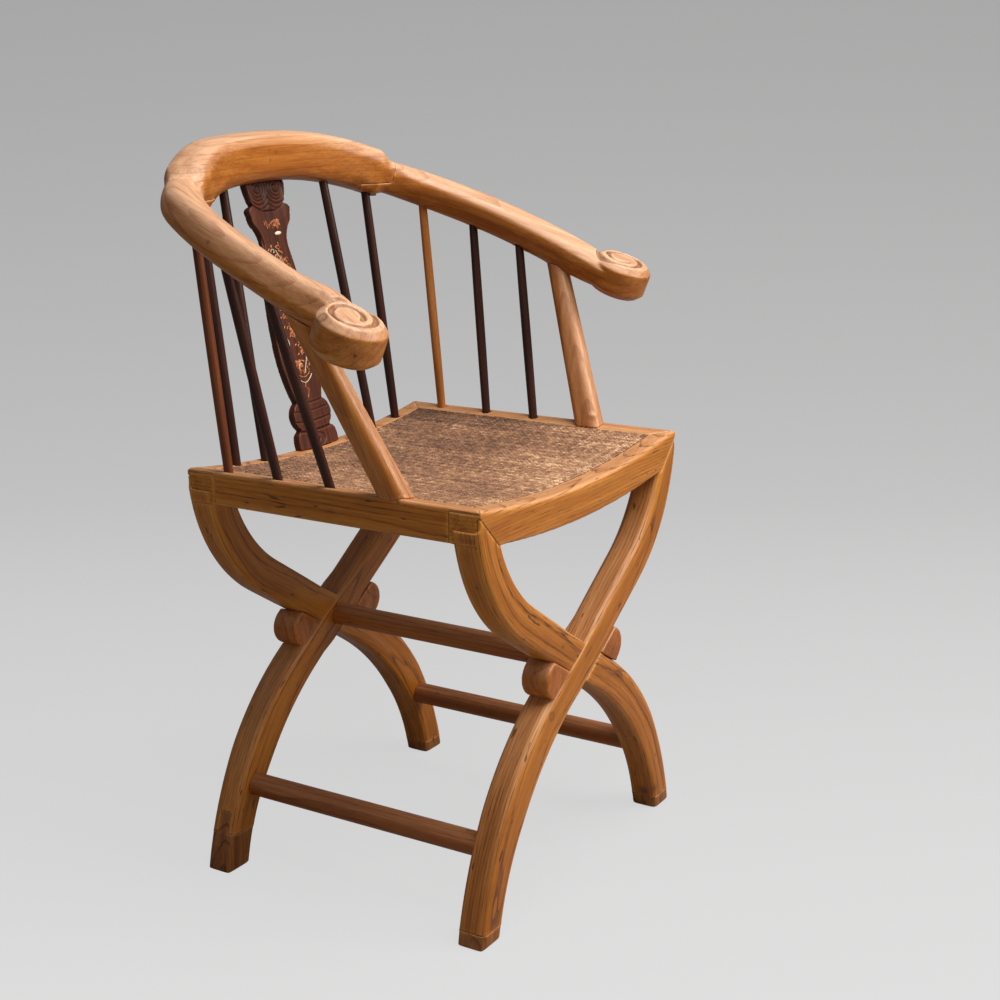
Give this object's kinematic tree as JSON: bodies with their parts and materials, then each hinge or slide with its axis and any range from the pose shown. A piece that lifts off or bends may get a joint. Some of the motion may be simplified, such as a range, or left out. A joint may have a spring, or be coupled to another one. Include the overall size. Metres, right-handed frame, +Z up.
{
  "type": "armchair",
  "caption": "Horseshoe back wooden armchair on crossed trestle legs, with a carved splat, round spindles, scroll arms and a dipped woven cane seat.",
  "frame": {"origin": "on the floor, below the centre of the chair's bounding box", "axes": "+Z up, -Y to the front of the chair, -X to the sitter's right"},
  "size_m": [0.6602, 0.478, 0.8669],
  "materials": {
    "elm_tips": "waxed",
    "elm_legs": "waxed",
    "elm_stretchers": "waxed",
    "elm_bosses": "waxed",
    "elm_rails": "waxed",
    "plain_inner_wood": "matt",
    "cane": "matt",
    "border": "matt",
    "elm_arms": "waxed",
    "splat_rosewood": "waxed",
    "orange_spindle": "waxed",
    "brown_spindle": "waxed",
    "rosewood": "waxed"
  },
  "bodies": {
    "root": {"foot_tip_front_right": "elm_tips", "foot_tip_front_left": "elm_tips", "foot_tip_back_right": "elm_tips", "foot_tip_back_left": "elm_tips", "leg_front_through": "elm_legs", "leg_front_lapped": "elm_legs", "leg_back_through": "elm_legs", "leg_back_lapped": "elm_legs", "stretcher_middle": "elm_stretchers", "stretcher_right": "elm_stretchers", "stretcher_left": "elm_stretchers", "boss_front_left": "elm_bosses", "boss_front_right": "elm_bosses", "boss_back_left": "elm_bosses", "boss_back_right": "elm_bosses", "front_rail": "elm_rails", "back_rail": "elm_rails", "side_rail_left": "elm_rails", "side_rail_right": "elm_rails", "seat_batten_right": "plain_inner_wood", "seat_batten_left": "plain_inner_wood", "seat_cane": "cane", "seat_border": "border", "crest": "elm_arms", "arm_left": "elm_arms", "arm_right": "elm_arms", "scarf_pin_left": "plain_inner_wood", "scarf_pin_right": "plain_inner_wood", "arm_post_left": "elm_arms", "arm_post_right": "elm_arms", "splat": "splat_rosewood", "side_spindle_left_1": "orange_spindle", "side_spindle_right_1": "brown_spindle", "side_spindle_left_2": "rosewood", "side_spindle_right_2": "rosewood", "side_spindle_left_3": "rosewood", "side_spindle_right_3": "rosewood", "back_spindle_left_1": "rosewood", "back_spindle_right_1": "rosewood", "back_spindle_left_2": "rosewood", "back_spindle_right_2": "rosewood"}
  },
  "joints": []
}
